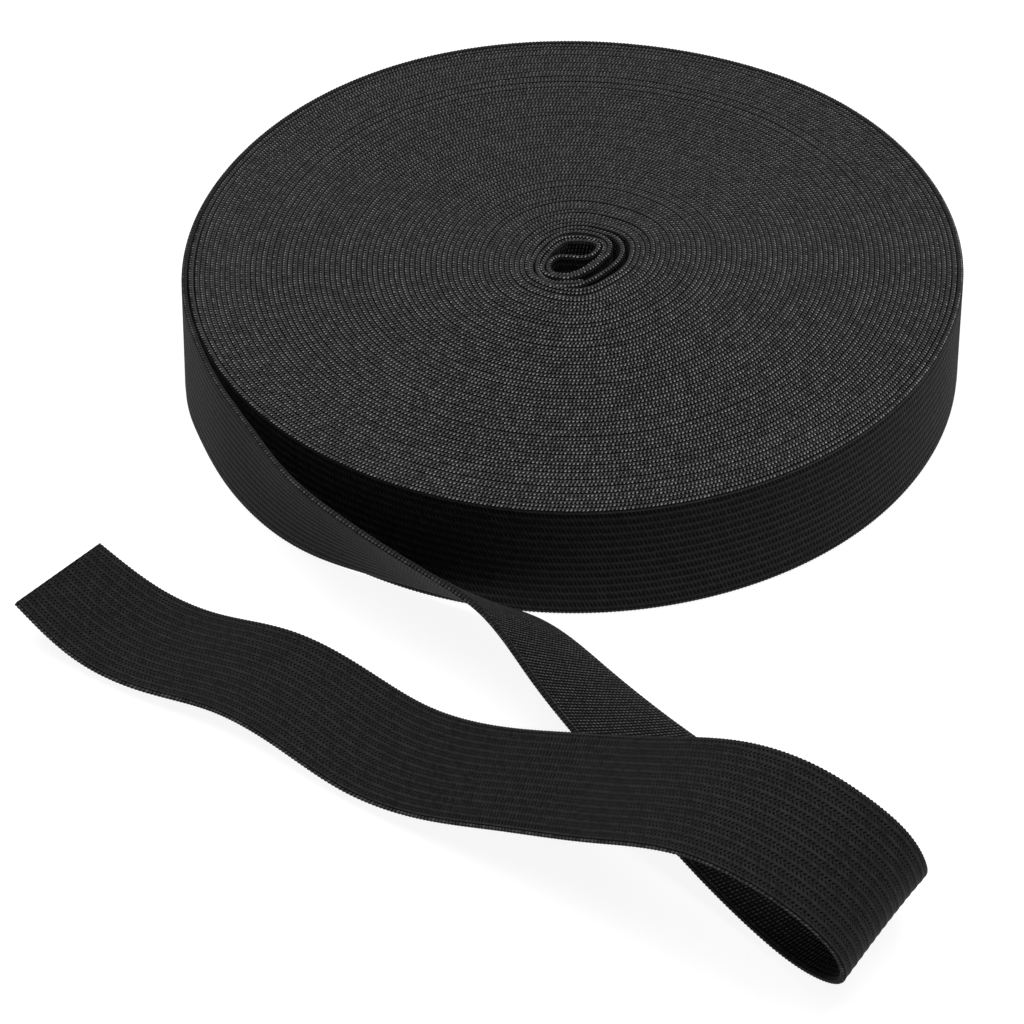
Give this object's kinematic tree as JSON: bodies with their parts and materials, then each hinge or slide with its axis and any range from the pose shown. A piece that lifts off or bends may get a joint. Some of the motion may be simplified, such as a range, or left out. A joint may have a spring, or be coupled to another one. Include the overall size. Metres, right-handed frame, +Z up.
{
  "type": "reel of elastic",
  "caption": "Coreless roll of flat black knitted elastic lying on its side, its loose end standing on edge, twisting flat and turned back in a loop to a square cut.",
  "frame": {"origin": "on the surface, under the middle of the whole object's box", "axes": "+Z up, along the roll's axis; +Y from the loop of the loose end towards the back of the roll; +X to the right as seen from the loop"},
  "size_m": [0.1804, 0.2546, 0.0324],
  "materials": {
    "elastic_roll": "matt knitted, stitch rows on the selvedge",
    "elastic_loose_end": "matt knitted, fine lengthwise ribs"
  },
  "bodies": {
    "root": {"wound_roll": "elastic_roll", "loose_end": "elastic_loose_end"}
  },
  "joints": []
}
